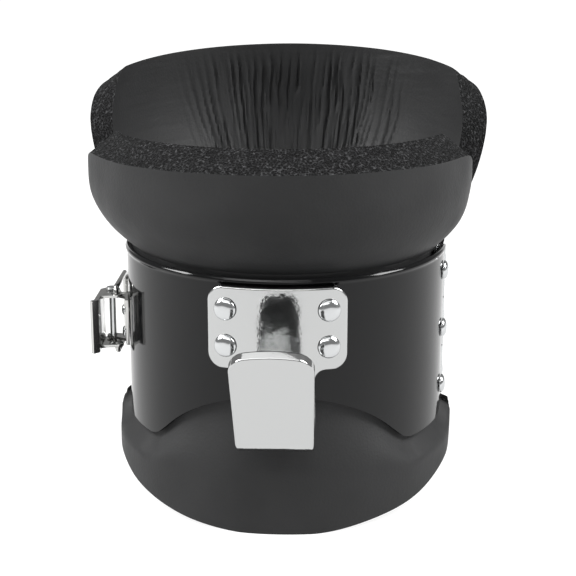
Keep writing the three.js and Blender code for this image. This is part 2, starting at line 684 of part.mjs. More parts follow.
// ---------------------------------------------------------------- frame: bottom centre of the whole cuff
group.updateMatrixWorld(true);
const bounds = new THREE.Box3().setFromObject(group, true);
group.position.set(-(bounds.min.x + bounds.max.x) / 2, -(bounds.min.y + bounds.max.y) / 2, -bounds.min.z);

export default group;
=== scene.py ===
# %% [markdown]
# # An inversion boot
#
# This notebook builds the looks of a hanging ankle cuff: a black steel shell in two halves, thick
# foam linings, a plated hook that goes over a bar, and a draw latch. The sizes and the moving parts
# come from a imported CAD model, the frame. Everything below either gives a frame piece its finish or
# makes a finer surface that stands exactly where the frame piece stands.

# %% Load the frame and keep its box
from math import asin, cos, pi, radians, sin

import bmesh
import bpy
import numpy as np
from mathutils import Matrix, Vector


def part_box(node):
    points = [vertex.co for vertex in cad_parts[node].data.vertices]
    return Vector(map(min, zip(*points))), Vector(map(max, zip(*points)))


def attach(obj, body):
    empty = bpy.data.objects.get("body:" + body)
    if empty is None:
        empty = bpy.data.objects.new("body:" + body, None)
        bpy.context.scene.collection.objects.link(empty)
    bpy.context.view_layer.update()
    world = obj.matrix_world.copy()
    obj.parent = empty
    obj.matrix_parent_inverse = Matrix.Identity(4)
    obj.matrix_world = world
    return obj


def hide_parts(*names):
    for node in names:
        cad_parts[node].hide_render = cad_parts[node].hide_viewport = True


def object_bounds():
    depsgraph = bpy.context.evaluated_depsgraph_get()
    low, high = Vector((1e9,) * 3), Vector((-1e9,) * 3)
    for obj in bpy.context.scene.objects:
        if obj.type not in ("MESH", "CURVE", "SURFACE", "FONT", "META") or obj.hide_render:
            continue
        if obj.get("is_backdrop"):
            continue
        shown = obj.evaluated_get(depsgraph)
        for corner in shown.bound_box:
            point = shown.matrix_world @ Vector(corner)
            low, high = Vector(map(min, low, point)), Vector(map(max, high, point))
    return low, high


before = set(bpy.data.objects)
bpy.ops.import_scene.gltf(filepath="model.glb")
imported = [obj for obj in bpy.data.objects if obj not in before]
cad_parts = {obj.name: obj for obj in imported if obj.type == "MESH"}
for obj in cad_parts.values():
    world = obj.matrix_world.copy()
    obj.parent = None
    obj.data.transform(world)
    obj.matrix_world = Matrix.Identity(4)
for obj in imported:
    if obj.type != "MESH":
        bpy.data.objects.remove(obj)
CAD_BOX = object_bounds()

# %% [markdown]
# ## Measures
#
# The cuff is drawn round one upright axis. Its place and the main sizes are read from the boxes of
# the frame pieces, so that a changed frame carries the looks with it. Only shapes that a box can't
# tell, such as the curve of an arch, are named here.

# %% Read the measures off the frame
MM = 0.001


def box(node):
    """Lowest and highest corner of a frame piece, as two arrays."""
    low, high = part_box(node)
    return np.array(low), np.array(high)


def node_points(node):
    """Vertices of a frame piece, as rows of one array."""
    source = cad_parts[node]
    flat = np.empty(len(source.data.vertices) * 3)
    source.data.vertices.foreach_get("co", flat)
    matrix = np.array(source.matrix_world)
    return flat.reshape(-1, 3) @ matrix[:3, :3].T + matrix[:3, 3]


SHELL_FRONT_LOW, SHELL_FRONT_HIGH = box("front_shell")
SHELL_REAR_LOW, SHELL_REAR_HIGH = box("rear_shell")
AXIS_X = 0.5 * (SHELL_FRONT_LOW[0] + SHELL_FRONT_HIGH[0])
AXIS_Y = 0.5 * (SHELL_FRONT_LOW[1] + SHELL_REAR_HIGH[1])
SHELL_R = AXIS_Y - SHELL_FRONT_LOW[1]
SHELL_TOP = SHELL_FRONT_HIGH[2]
SHELL_LOBE = SHELL_FRONT_LOW[2]
SHELL_GAP = SHELL_REAR_LOW[1] - SHELL_FRONT_HIGH[1]
SHELL_WALL = 2.0 * MM
AIR = 0.3 * MM
PIN_LOW, PIN_HIGH = box("hinge_pin")
HINGE_X = 0.5 * (PIN_LOW[0] + PIN_HIGH[0]) - AXIS_X
print("shell radius", round(SHELL_R, 4), "rim at", round(SHELL_TOP, 4))
print("leg axis at", round(AXIS_X, 4), round(AXIS_Y, 4), "hinge axis beside it by", round(HINGE_X, 4))

# %% [markdown]
# ## Small tools
#
# Most pieces are surfaces worked out with numpy: a formula gives a point for every pair of numbers on
# a grid, and the whole grid becomes a mesh at once. `mesh_object` turns arrays into a mesh, and
# `dress` puts a piece on its body, gives it a finish and hides the frame pieces that it stands for.

# %% Mesh and dressing tools


def mesh_object(name, points, faces, smooth=True):
    """A mesh object at the origin from an array of points and an array of faces."""
    mesh = bpy.data.meshes.new(name)
    mesh.from_pydata(points.reshape(-1, 3).tolist(), [], faces.tolist())
    mesh.polygons.foreach_set("use_smooth", np.full(len(mesh.polygons), smooth))
    mesh.update()
    piece = bpy.data.objects.new(name, mesh)
    bpy.context.scene.collection.objects.link(piece)
    return piece


def dress(piece, body, material, nodes=()):
    """Puts a piece on its body, gives it a finish when one is given and hides the frame pieces that it
    stands for.
    """
    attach(piece, body)
    if nodes:
        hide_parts(*nodes)
    if material is not None:
        piece.data.materials.clear()
        piece.data.materials.append(material)
    return piece


def grid_faces(rows, columns, closed_columns=False):
    """Quads of a grid of points stored row after row; the last column may join the first."""
    across = columns if closed_columns else columns - 1
    i, j = np.meshgrid(np.arange(rows - 1), np.arange(across), indexing="ij")
    k = (j + 1) % columns
    corners = [i * columns + j, i * columns + k, (i + 1) * columns + k, (i + 1) * columns + j]
    return np.stack(corners, axis=-1).reshape(-1, 4)


def ease(x):
    """0 below 0, 1 above 1 and a smooth step between."""
    t = np.clip(x, 0.0, 1.0)
    return t * t * (3 - 2 * t)


def value_noise(x, y, seed):
    """Soft noise in 0..1: random heights on a whole-number grid, joined by smooth steps."""
    size = 128
    table = np.random.default_rng(seed).random((size, size))
    xi, yi = np.floor(x).astype(int), np.floor(y).astype(int)
    fx, fy = ease(x - xi), ease(y - yi)
    a, b = table[xi % size, yi % size], table[(xi + 1) % size, yi % size]
    c, d = table[xi % size, (yi + 1) % size], table[(xi + 1) % size, (yi + 1) % size]
    return (a * (1 - fx) + b * fx) * (1 - fy) + (c * (1 - fx) + d * fx) * fy


def round_the_axis(radius, angle, z):
    """Points about the leg axis; angle 0 is the front and 90 degrees the hinge side."""
    radius, angle, z = np.broadcast_arrays(radius, angle, z)
    return np.stack([AXIS_X + radius * np.sin(angle), AXIS_Y - radius * np.cos(angle), z], axis=-1)


def drawn_in(distance, corner):
    """How far a round corner draws the edge in at a distance from the end: a quarter circle."""
    d = np.clip(distance, 0.0, corner)
    return corner - np.sqrt(corner ** 2 - (corner - d) ** 2)


def finish_edges(piece, width, segments=3):
    """Rounds the sharp arrises of a sheet or block, as tumbling or plating does on the real part."""
    bevel = piece.modifiers.new("rounded arrises", "BEVEL")
    bevel.width = width
    bevel.segments = segments
    bevel.limit_method = "ANGLE"
    bevel.angle_limit = radians(38)
    bevel.harden_normals = True
    return piece


def thicken(piece, thickness, offset):
    """Gives a sheet its wall: offset 0 grows both ways, -1 inwards from the drawn face."""
    wall = piece.modifiers.new("wall", "SOLIDIFY")
    wall.thickness = thickness
    wall.offset = offset
    wall.use_even_offset = True
    return piece


# %% [markdown]
# ## Finishes
#
# Each finish is a small node network on Object coordinates, in metres, so a pattern has its real size
# on every piece. Values that are the same all over a surface are typed into the shader itself.

# %% Node helpers


class Recipe:
    """A material in the making; `place` is where a point lies on the object, in metres."""

    def __init__(self, name, **values):
        self.material = bpy.data.materials.new(name)
        self.material.use_nodes = True
        self.tree = self.material.node_tree
        self.shader = self.tree.nodes["Principled BSDF"]
        for socket, value in values.items():
            self.shader.inputs[socket.replace("_", " ")].default_value = value
        self.place = self.tree.nodes.new("ShaderNodeTexCoord").outputs["Object"]

    def node(self, kind, links=(), **settings):
        """Adds a node, sets its inputs by name and links its inputs to other outputs."""
        made = self.tree.nodes.new(kind)
        for key, value in settings.items():
            socket = made.inputs.get(key.replace("_", " "))
            if socket is not None:
                socket.default_value = value
            else:
                setattr(made, key, value)
        for socket, output in links:
            self.tree.links.new(output, made.inputs[socket])
        return made

    def ramp(self, factor, stops):
        """A colour ramp with the given (place, grey or colour) stops."""
        made = self.node("ShaderNodeValToRGB", [("Fac", factor)])
        ramp = made.color_ramp
        while len(ramp.elements) < len(stops):
            ramp.elements.new(0.5)
        for element, (position, colour) in zip(ramp.elements, stops):
            element.position = position
            element.color = (*colour, 1.0) if len(np.shape(colour)) else (colour, colour, colour, 1.0)
        return made.outputs["Color"]

    def into(self, output, socket):
        """Links an output to the shader."""
        self.tree.links.new(output, self.shader.inputs[socket])

    def bump(self, height, distance, strength=1.0, under=None):
        """Relief of a real depth; `under` is a coarser relief that it rides on."""
        links = [("Height", height)] + ([("Normal", under)] if under else [])
        return self.node("ShaderNodeBump", links, Strength=strength, Distance=distance).outputs["Normal"]

    def noise(self, scale, detail=3.0, roughness=0.5):
        """Soft noise in 0..1 with so many waves in a metre."""
        return self.node("ShaderNodeTexNoise", [("Vector", self.place)], Scale=scale, Detail=detail,
                         Roughness=roughness).outputs["Fac"]

    def cells(self, scale):
        """Distance from the middle of the nearest cell, with so many cells in a metre."""
        return self.node("ShaderNodeTexVoronoi", [("Vector", self.place)], Scale=scale,
                         feature="F1").outputs["Distance"]


# %% [markdown]
# ### Black enamel
#
# The shell is pressed steel with a thick gloss enamel. Such paint is almost black, flows a little
# before it sets, which leaves a faint orange peel, and keeps small differences of gloss.

# %% Black enamel


def black_enamel():
    """Near black in two close shades, with patches of gloss and a shallow orange peel."""
    r = Recipe("black enamel", Metallic=0.0, IOR=1.33)
    patches = r.noise(18.0, 4.0)
    r.into(r.ramp(patches, [(0.3, (0.003, 0.0031, 0.0034)), (0.7, (0.005, 0.0051, 0.0054))]), "Base Color")
    r.into(r.ramp(r.noise(60.0, 3.0), [(0.35, 0.07), (0.75, 0.14)]), "Roughness")
    r.into(r.bump(r.noise(240.0, 2.0), 0.00004, 0.35), "Normal")
    return r.material


ENAMEL = black_enamel()

# %% [markdown]
# ### Chrome and nickel
#
# The hook is chrome plated, and the small parts are plated more thinly. Both are mirrors with a slight
# haze that varies where they have been handled, and hairline scratches. The hook's steel was not quite
# flat under its chrome, so it also has a soft ripple that breaks up what it mirrors.

# %% Plated metals


def plated(name, colour, rough_low, rough_high, haze_scale, ripple=0.0):
    """Polished plating whose haze goes from rough_low to rough_high, over a ripple in the metal."""
    r = Recipe(name, Metallic=1.0, Base_Color=(*colour, 1.0))
    r.into(r.ramp(r.noise(haze_scale, 5.0, 0.6), [(0.3, rough_low), (0.75, rough_high)]), "Roughness")
    stretched = r.node("ShaderNodeMapping", [("Vector", r.place)], Scale=(900.0, 60.0, 40.0))
    scratches = r.node("ShaderNodeTexNoise", [("Vector", stretched.outputs["Vector"])],
                       Scale=1.0, Detail=2.0).outputs["Fac"]
    flow = r.bump(r.noise(110.0, 4.0, 0.6), 0.0006, ripple)
    r.into(r.bump(scratches, 0.000008, 0.25, under=flow), "Normal")
    return r.material


CHROME = plated("bright chrome", (0.47, 0.475, 0.473), 0.07, 0.17, 90.0, 0.3)
NICKEL = plated("thin nickel", (0.5, 0.5, 0.49), 0.1, 0.2, 160.0)
ZINC = plated("bright zinc", (0.55, 0.56, 0.565), 0.12, 0.22, 200.0)

# %% [markdown]
# ### Foam
#
# The lining is cut from moulded foam. Its faces have a closed charcoal skin with a fine leathery
# grain and a low sheen. Where the sheet is cut, the open cells show as small pits between slightly
# lighter walls, and painted shade darkens each pit.

# %% Foam skin and cut foam


def foam_skin():
    """The closed skin: two close shades of charcoal, fine pebbled grain over a coarser unevenness."""
    r = Recipe("foam skin", IOR=1.45, Specular_IOR_Level=0.2)
    tone = r.noise(14.0, 5.0, 0.6)
    shades = [(0.3, (0.018, 0.0182, 0.0186)), (0.72, (0.025, 0.0252, 0.0257))]
    r.into(r.ramp(tone, shades), "Base Color")
    r.into(r.ramp(r.noise(45.0, 4.0), [(0.3, 0.5), (0.75, 0.64)]), "Roughness")
    grain = r.cells(850.0)
    coarse = r.bump(r.noise(320.0, 4.0, 0.6), 0.0002, 0.4)
    r.into(r.bump(grain, 0.00012, 0.35, under=coarse), "Normal")
    return r.material


def cut_foam():
    """Open cells: pits between paler walls, gathered in clumps, each pit darkened with painted shade."""
    r = Recipe("cut foam", Roughness=0.95, IOR=1.4, Specular_IOR_Level=0.2)
    pit_depth_and_painted_shade = r.cells(1150.0)
    clumps = r.noise(520.0, 3.0, 0.7)
    # The colour ramp paints shade into each pit: near black at the middle of a cell and paler on its
    # walls, with random clumps of tone over it.
    both = r.node("ShaderNodeMath", [(0, pit_depth_and_painted_shade), (1, clumps)], operation="MULTIPLY").outputs["Value"]
    r.into(r.ramp(both, [(0.1, (0.001, 0.001, 0.001)), (0.24, (0.005, 0.0051, 0.0053)),
                         (0.38, (0.016, 0.0163, 0.0168)), (0.52, (0.046, 0.0465, 0.0477))]), "Base Color")
    coarse = r.bump(clumps, 0.0008, 0.9)
    r.into(r.bump(pit_depth_and_painted_shade, 0.0005, 1.0, under=coarse), "Normal")
    return r.material


SKIN = foam_skin()
CUT = cut_foam()
print("finishes:", [m.name for m in bpy.data.materials])

# %% [markdown]
# ## The camera, the floor and the light
#
# The camera stands about 0.65 m away and looks down by some 17 degrees. The floor is a pale sheet lit
# from below, the ceiling glows softly, and strong soft boxes stand left and right, which is how such
# goods are lit: glossy black shows as a dark face with pale edges, chrome shows the pale floor, and the
# inside of the collar is brighter at its sides than in its middle. A long low box in front draws the
# bright line along the shell's rim.

# %% Camera


def aim(thing, target):
    """Turns a camera or a light so that it looks from where it is to the target."""
    thing.rotation_euler = (Vector(target) - thing.location).to_track_quat("-Z", "Y").to_euler()


CAMERA_AWAY, CAMERA_TURN, CAMERA_HEIGHT = 0.6224, radians(2.75), 0.2632
CAMERA_LENS = 90.4
CAMERA_PLACE = (AXIS_X + CAMERA_AWAY * sin(CAMERA_TURN), AXIS_Y - CAMERA_AWAY * cos(CAMERA_TURN),
                CAMERA_HEIGHT)
CAMERA_TARGET = (AXIS_X + 0.0010, AXIS_Y, 0.0850)
camera_data = bpy.data.cameras.new("camera")
camera = bpy.data.objects.new("camera", camera_data)
bpy.context.scene.collection.objects.link(camera)
camera.location = CAMERA_PLACE
aim(camera, CAMERA_TARGET)
camera_data.lens = CAMERA_LENS
camera_data.sensor_width = 36.0
camera_data.clip_start = 0.01
bpy.context.scene.camera = camera
print("camera", [round(value, 3) for value in CAMERA_PLACE], "lens", CAMERA_LENS, "mm")

# %% Floor and lights


def plain_floor():
    """A round floor, wide enough to reach the horizon from every side."""
    spin = np.linspace(0, 2 * pi, 64, endpoint=False)
    radius = np.array([0.0, 1.0, 40.0])
    x, y = radius[:, None] * np.cos(spin), radius[:, None] * np.sin(spin)
    return mesh_object("floor", np.stack([x, y, np.zeros_like(x)], axis=-1), grid_faces(3, 64, True))


r = Recipe("pale paper", Roughness=0.75, Base_Color=(0.15, 0.15, 0.15, 1.0),
           Emission_Color=(1.0, 1.0, 1.0, 1.0), Emission_Strength=0.9)
r.into(r.bump(r.noise(400.0, 2.0), 0.0001, 0.1), "Normal")
floor = plain_floor()
floor.data.materials.append(r.material)
floor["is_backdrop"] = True


def lamp(name, kind, place, target, power, size=(1.0, 1.0)):
    """A soft light that faces the cuff: a rectangle, or an even glow from far away."""
    data = bpy.data.lights.new(name, kind)
    data.energy = power
    if kind == "AREA":
        data.shape = "RECTANGLE"
        data.size, data.size_y = size
    else:
        data.angle = GLOW_WIDTH
    made = bpy.data.objects.new(name, data)
    bpy.context.scene.collection.objects.link(made)
    made.location = place
    aim(made, target)
    return made


MIDDLE = (AXIS_X, AXIS_Y, 0.1)
GLOW_WIDTH = radians(70)
lamp("ceiling", "SUN", (-0.4, -0.5, 2.0), MIDDLE, 1.3)
lamp("front", "AREA", (-0.25, -1.2, 1.15), MIDDLE, 5.0, (1.6, 0.2))
lamp("left side", "AREA", (-1.0, -0.1, 0.95), MIDDLE, 27.0, (0.5, 0.8))
lamp("right side", "AREA", (1.0, -0.1, 0.95), MIDDLE, 25.0, (0.5, 0.8))

world = bpy.data.worlds.new("studio")
world.use_nodes = True
world.node_tree.nodes["Background"].inputs["Color"].default_value = (1.0, 1.0, 1.0, 1.0)
world.node_tree.nodes["Background"].inputs["Strength"].default_value = 0.3
bpy.context.scene.world = world
bpy.context.scene.view_settings.view_transform = "Standard"
print("lights:", [light.name for light in bpy.data.lights])

# %% [markdown]
# ## The shell halves
#
# Each half is one sheet of steel rolled to the leg's curve. The lower edge leaves an arch over the
# instep and two rounded lobes beside it. I draw the outer face as a function of the arc length and
# the height, then give the sheet its wall and round its edge, so the gloss runs clean over it. The
# rim carries a small pressed bead, which stiffens it and catches the light as a thin bright line.

# %% Draw a shell half
ARCH_TOP = 59.0 * MM
ARCH_R = 78.0 * MM
LOBE_FILLET = 9.0 * MM
CORNER_LOW, CORNER_HIGH = 14.0 * MM, 6.0 * MM
BEAD_OUT, BEAD_DOWN = 0.7 * MM, 1.6 * MM
SHELL_ARRIS = 0.9 * MM
SHELL_END = SHELL_R * (pi / 2 - asin(SHELL_GAP / 2 / SHELL_R))


def shell_low(s):
    """Height of the lower edge at arc length s: an arch, a flat lobe and a rounded corner."""
    distance = np.abs(s)
    arch = ARCH_TOP - ARCH_R + np.sqrt(ARCH_R ** 2 - np.minimum(distance, ARCH_R) ** 2)
    blend = np.clip(LOBE_FILLET - np.abs(arch - SHELL_LOBE), 0, None) / LOBE_FILLET
    edge = np.maximum(arch, SHELL_LOBE) + blend ** 2 * LOBE_FILLET * 0.2
    return edge + drawn_in(SHELL_END - distance, CORNER_LOW)


def shell_high(s):
    """Height of the rim: level, with small rounded corners."""
    return SHELL_TOP - drawn_in(SHELL_END - np.abs(s), CORNER_HIGH)


def shell_half(name, middle):
    """One half round its middle angle, with close columns at its corners and close rows at its bead."""
    corner = CORNER_LOW * (1 - np.cos(np.linspace(0, pi / 2, 15)[:-1]))
    inner = np.linspace(0, SHELL_END - CORNER_LOW, 70)
    half = np.concatenate([inner, SHELL_END - corner[::-1]])
    s = np.concatenate([-half[:0:-1], half])
    part = np.concatenate([np.linspace(0, 0.9, 27), np.linspace(0.9, 1, 17)[1:]])
    s, part = np.meshgrid(s, part, indexing="xy")
    z = shell_low(s) + part * (shell_high(s) - shell_low(s))
    bead = BEAD_OUT * ease(1 - np.abs(SHELL_TOP - BEAD_DOWN - z) / BEAD_DOWN)
    points = round_the_axis(SHELL_R + bead, middle + s / SHELL_R, z)
    piece = mesh_object(name, points, grid_faces(*s.shape))
    return finish_edges(thicken(piece, SHELL_WALL, -1.0), SHELL_ARRIS, 4)


for name, middle, body, node in (("front_shell_enamelled", 0.0, "front_half", "front_shell"),
                                 ("rear_shell_enamelled", pi, "rear_half", "rear_shell")):
    dress(shell_half(name, middle), body, ENAMEL, [node])
print("shell half, arc length each way:", round(SHELL_END, 4))

# %% [markdown]
# ## The foam linings
#
# A lining is a slab of foam bent round the leg. I describe it as a bent block: u runs round the leg
# from one end to the other, v up from the skirt to the collar's edge, and w through the thickness.
# One function turns u, v and w into points, so the six faces of the block meet exactly. The broad
# faces carry the foam's skin; the edges and ends are cut and show its cells.
#
# Below the shell the skirt flares out, quickly at the split and slowly under the arch, and its lower
# edge rises beside the foot. Above the rim the collar flares out, and its edge tilts up to the inside.

# %% The bent block of foam
FOAM = 12.5 * MM
PAD_R = SHELL_R - SHELL_WALL - AIR
FLARE_LOW, RUN_SPLIT, RUN_ARCH = 7.0 * MM, 10.0 * MM, 44.0 * MM
SKIRT_RISE, FOOT, SKIRT_CORNER = 20.0 * MM, radians(12), 14.0 * MM
TOP_TILT = 8.0 * MM
HALF_SLOT = 4.0 * MM
WEDGE = radians(37.5)
RIM = SHELL_TOP + AIR
NECK = 1.0 * MM
END_TRIES = 14
FRONT_COLLAR = dict(top=box("front_pad")[1][2], flare=15.6 * MM, run=32 * MM, power=2.5,
                    corner=16 * MM, drop=3 * MM, slump=2.2 * MM)
REAR_COLLAR = dict(top=box("rear_pad")[1][2], flare=22.2 * MM, run=55 * MM, power=2.2,
                   corner=18 * MM, drop=7 * MM, slump=0.0)


def end_angle(radius):
    """Where a lining ends: at a slot beside the split, and farther back outside the hinge, to turn."""
    slot = pi / 2 - np.arcsin(HALF_SLOT / radius)
    wedge = (pi / 2 - WEDGE) + np.arcsin(np.minimum(HINGE_X * sin(WEDGE) / radius, 1.0))
    return np.minimum(slot, wedge)


def skin_radius(z, s, collar):
    """Outer radius: inside the shell, out by the skirt below its edge and by the collar above its rim."""
    run = RUN_ARCH + (RUN_SPLIT - RUN_ARCH) * ease(s / SHELL_R)
    below = FLARE_LOW * ease((shell_low(s) - AIR - z) / run)
    climb = np.clip((z - RIM - NECK) / collar["run"], 0, 1)
    return PAD_R + below + collar["flare"] * (1 - (1 - climb) ** collar["power"])


def block(u, v, w, collar, end):
    """Angle, radius and height of the points u, v, w of a lining that ends at the angles `end`."""
    angle = u * end
    distance = np.abs(angle) * SHELL_R
    s = np.minimum(distance, SHELL_END)
    from_end = (end - np.abs(angle)) * SHELL_R
    tilt = TOP_TILT * ease(from_end / collar["corner"])
    top = collar["top"] - TOP_TILT - collar["drop"] * (1 - np.cos(angle))
    top = top - drawn_in(from_end, collar["corner"])
    bottom = SKIRT_RISE * np.maximum(cos(FOOT) - np.cos(angle), 0) + drawn_in(from_end, SKIRT_CORNER)
    z = bottom + v * (top - bottom)
    part = np.clip((z - RIM) / np.maximum(top - RIM, MM), 0, 1)
    step = 0.5 * MM
    slope = (skin_radius(z + step, s, collar) - skin_radius(z - step, s, collar)) / (2 * step)
    lean = np.arctan(slope) * ease((z - SHELL_TOP) / (12 * MM)) * ease((1 - part) / 0.3)
    radius = skin_radius(z, s, collar) - w * FOAM * np.cos(lean)
    return angle, radius, z + w * (FOAM * np.sin(lean) + tilt * ease(part))


def ends_of(v, w, collar):
    """Angle at which each row ends. The end's radius depends on it, so it is found in small steps."""
    end = np.full(np.broadcast(v, w).shape, radians(85))
    for _ in range(END_TRIES):
        end = 0.4 * end + 0.6 * end_angle(block(1.0, v, w, collar, end)[1])
    return end


def welded(name, patches):
    """One object from several grids whose shared edges are joined; each grid has its material index."""
    points = np.concatenate([grid.reshape(-1, 3) for grid, _, _ in patches])
    faces, marks, start = [], [], 0
    for grid, mark, flipped in patches:
        quads = grid_faces(*grid.shape[:2]) + start
        faces.append(quads[:, ::-1] if flipped else quads)
        marks.append(np.full(len(quads), mark))
        start += grid.shape[0] * grid.shape[1]
    keys, back = np.unique(np.round(points / (0.002 * MM)).astype(np.int64), axis=0, return_inverse=True)
    kept = np.zeros((len(keys), 3))
    kept[back.ravel()] = points
    piece = mesh_object(name, kept, back.ravel()[np.concatenate(faces)])
    piece.data.polygons.foreach_set("material_index", np.concatenate(marks))
    return piece


# %% [markdown]
# ### Dents and wrinkles
#
# The foam is pressed in by whatever stands inside the shell: the tails of the rivets and the hinge
# leaf. On the inner face of the rear collar the skin is squeezed by the bend and has buckled into
# narrow creases that run upward and fan out, and near one shoulder it is lightly puckered along the
# edge. Each crease is a narrow valley that wanders as it climbs, fades out and starts again; coarse
# and fine ones lie over each other, as on a buckled skin.

# %% Relief of the foam
RIVET_DENT, RIVET_DENT_R = 2.0 * MM, 7.5 * MM
LEAF_DENT, LEAF_REACH, LEAF_MARGIN = 3.3 * MM, 27 * MM, 3 * MM
CREASE_DEEP, CREASE_FINE, PUCKER, FAINT = 1.25 * MM, 0.5 * MM, 0.22 * MM, 0.08 * MM
CREASE_EVERY, FINE_EVERY = 3.0 * MM, 1.9 * MM
INNER_R = 62.0 * MM
SWELL, TORN_TOP, TORN_END = 1.1 * MM, 0.7 * MM, 0.5 * MM
FOAM_ARRIS = 0.3 * MM


def rivet_seats(names):
    """Angle and height of each rivet, from the middle of its frame piece's vertices."""
    seats = []
    for name in names:
        middle = node_points(name).mean(axis=0)
        seats.append((np.arctan2(middle[0] - AXIS_X, AXIS_Y - middle[1]), middle[2]))
    return seats


def turn_between(a, b):
    """Shortest angle from b to a."""
    return (a - b + pi) % (2 * pi) - pi


def dents(angle, z, seats):
    """How far the skin is pressed in by the rivets and the hinge, at angles and heights."""
    depth = 0.0
    for seat_angle, seat_z in seats:
        away = np.hypot(turn_between(angle, seat_angle) * PAD_R, z - seat_z)
        depth = depth + RIVET_DENT * ease((RIVET_DENT_R - away) / (2.5 * MM))
    beside = np.abs(turn_between(angle, pi / 2)) * PAD_R
    above = ease((z - PIN_LOW[2] + LEAF_MARGIN) / (2 * MM))
    below = ease((PIN_HIGH[2] + LEAF_MARGIN - z) / (2 * MM))
    return np.maximum(depth, LEAF_DENT * ease((LEAF_REACH - beside) / (3 * MM)) * above * below)


def creases(place, along, seed, width):
    """Valleys 0..1 deep, one in each unit of `place`, that wander, fade out and start again."""
    wander = 1.1 * value_noise(place / 3.7, along * 0.8, seed)
    place = place + wander + 0.3 * value_noise(place * 0.9, along * 3.1, seed + 1)
    line = np.floor(place)
    valley = np.clip(1 - np.abs(place - line - 0.5) / width, 0, 1)
    depth = ease(1.9 * value_noise(line * 5.3, along * 1.3 + line * 0.37, seed + 2) - 0.35)
    return ease(valley) * depth


def buckling(angle, z, collar):
    """Depth of the creases on the inner face of the rear collar; angle 0 is its middle."""
    up = (z - RIM) / (collar["top"] - RIM)
    arc = angle * INNER_R
    fan = arc * (1 - 0.25 * (up - 0.5))
    tall = z / (28 * MM)
    deep = creases(fan / CREASE_EVERY, tall, 11, 0.3)
    fine = creases(fan / FINE_EVERY + 40.0, tall * 1.3, 14, 0.36)
    middle = np.exp(-(np.abs(angle + radians(3)) / radians(40)) ** 5)
    middle = middle * ease((1.0 - up) / 0.22) * ease((up + 0.55) / 0.5)
    upright = np.maximum(CREASE_DEEP * deep, CREASE_FINE * fine) * middle
    shoulder = ease((-angle - radians(18)) / radians(15)) * ease((radians(82) + angle) / radians(12))
    pucker = creases(z / (2.1 * MM) + angle * 4.0, arc / (17 * MM), 21, 0.4)
    across = PUCKER * pucker * shoulder * ease((up - 0.72) / 0.12) * ease((0.99 - up) / 0.04)
    faint = FAINT * creases(z / (2.6 * MM), arc / (20 * MM), 25, 0.45) * (1 - middle)
    return upright + across + faint


# %% Make the linings


def round_nodes(end_length, fine_half, fine, coarse, edge):
    """Places round the leg, in shares of the end angle: fine in the middle and at the ends."""
    middle = np.arange(0, fine_half, fine)
    side = np.arange(middle[-1] + coarse, end_length - edge * 6, coarse)
    tail = end_length - edge * np.array([5.2, 3.8, 2.6, 1.6, 0.8, 0.0])
    half = np.concatenate([middle, side, tail]) / end_length
    return np.concatenate([-half[:0:-1], half])


def lining(name, middle, collar, seats, creased, seed):
    """A foam lining round its middle angle: two skins and four cut sides, welded into one block."""
    reach = radians(84) * SHELL_R
    fine_half, fine = (0.62 * reach, 0.62 * MM) if creased else (0.05 * reach, 1.15 * MM)
    u = round_nodes(reach, fine_half, fine, 1.25 * MM, 0.8 * MM)
    v = np.linspace(0, 1, 160 if creased else 150)
    w = np.linspace(0, 1, 13)

    def points(u, v, w, rough=None):
        """Places of the points u, v, w with every relief; `rough` tears a cut side."""
        u, v, w = np.broadcast_arrays(u, v, w)
        end = ends_of(v, w, collar)
        angle, radius, z = block(u, v, w, collar, end)
        arch = shell_low(np.minimum(np.abs(angle) * SHELL_R, SHELL_END))
        free = ease((z - RIM) / (14 * MM)) + ease((arch - z) / (10 * MM))
        free = free * ease((end - np.abs(angle)) * SHELL_R / (7 * MM))
        swell = (value_noise(angle * 70 / 19.0 + 40, z / (17 * MM) + 9, seed) - 0.5) * SWELL * free
        radius = radius + (1 - w) * (swell - dents(middle + angle, z, seats)) + w * 0.6 * swell
        radius = radius - collar["slump"] * np.sin(angle) * ease((z - RIM) / (25 * MM))
        if creased:
            radius = radius + w * buckling(angle, z, collar)
        placed = round_the_axis(radius, middle + angle, z)
        if rough is not None:
            placed = placed + rough(u, v, w, angle, z)
        return placed

    def window(t):
        """1 inside and 0 at both ends of 0..1, so that torn sides still meet at their edges."""
        return ease(t / 0.12) * ease((1 - t) / 0.12)

    def torn_top(u, v, w, angle, z):
        lift = (value_noise(angle * 75 / 1.7, w * 8.0, seed + 1) - 0.5) * TORN_TOP
        lift = lift * window(w) * window((u + 1) / 2)
        return np.stack([0 * lift, 0 * lift, np.where(v > 0.5, lift, np.abs(lift))], axis=-1)

    def torn_end(u, v, w, angle, z):
        lift = -value_noise(z / (1.7 * MM), w * 8.0, seed + 2) * TORN_END * window(w) * window(v)
        side = np.sign(u)[..., None]
        turned = middle + angle
        return side * np.stack([lift * np.cos(turned), lift * np.sin(turned), 0 * lift]).transpose(1, 2, 0)

    column, row = np.meshgrid(u, v, indexing="ij")
    around, through = np.meshgrid(u, w, indexing="ij")
    up, deep = np.meshgrid(v, w, indexing="ij")
    patches = [
        (points(column, row, 0.0), 0, False),
        (points(column, row, 1.0), 0, True),
        (points(around, 1.0, through, torn_top), 1, False),
        (points(around, 0.0, through, torn_top), 1, True),
        (points(1.0, up, deep, torn_end), 1, False),
        (points(-1.0, up, deep, torn_end), 1, True),
    ]
    piece = welded(name, patches)
    piece.data.materials.append(SKIN)
    piece.data.materials.append(CUT)
    return finish_edges(piece, FOAM_ARRIS, 2)


FRONT_RIVETS = [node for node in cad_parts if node.startswith(("hook_rivet", "latch_base_rivet"))]
REAR_RIVETS = [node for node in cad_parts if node.startswith("catch_rivet")]
front_lining = lining("front_lining", 0.0, FRONT_COLLAR, rivet_seats(FRONT_RIVETS), False, 31)
rear_lining = lining("rear_lining", pi, REAR_COLLAR, rivet_seats(REAR_RIVETS), True, 47)
for piece, body, node in ((front_lining, "front_half", "front_pad"),
                          (rear_lining, "rear_half", "rear_pad")):
    dress(piece, body, None, [node])
    print(piece.name, "faces:", len(piece.data.polygons))

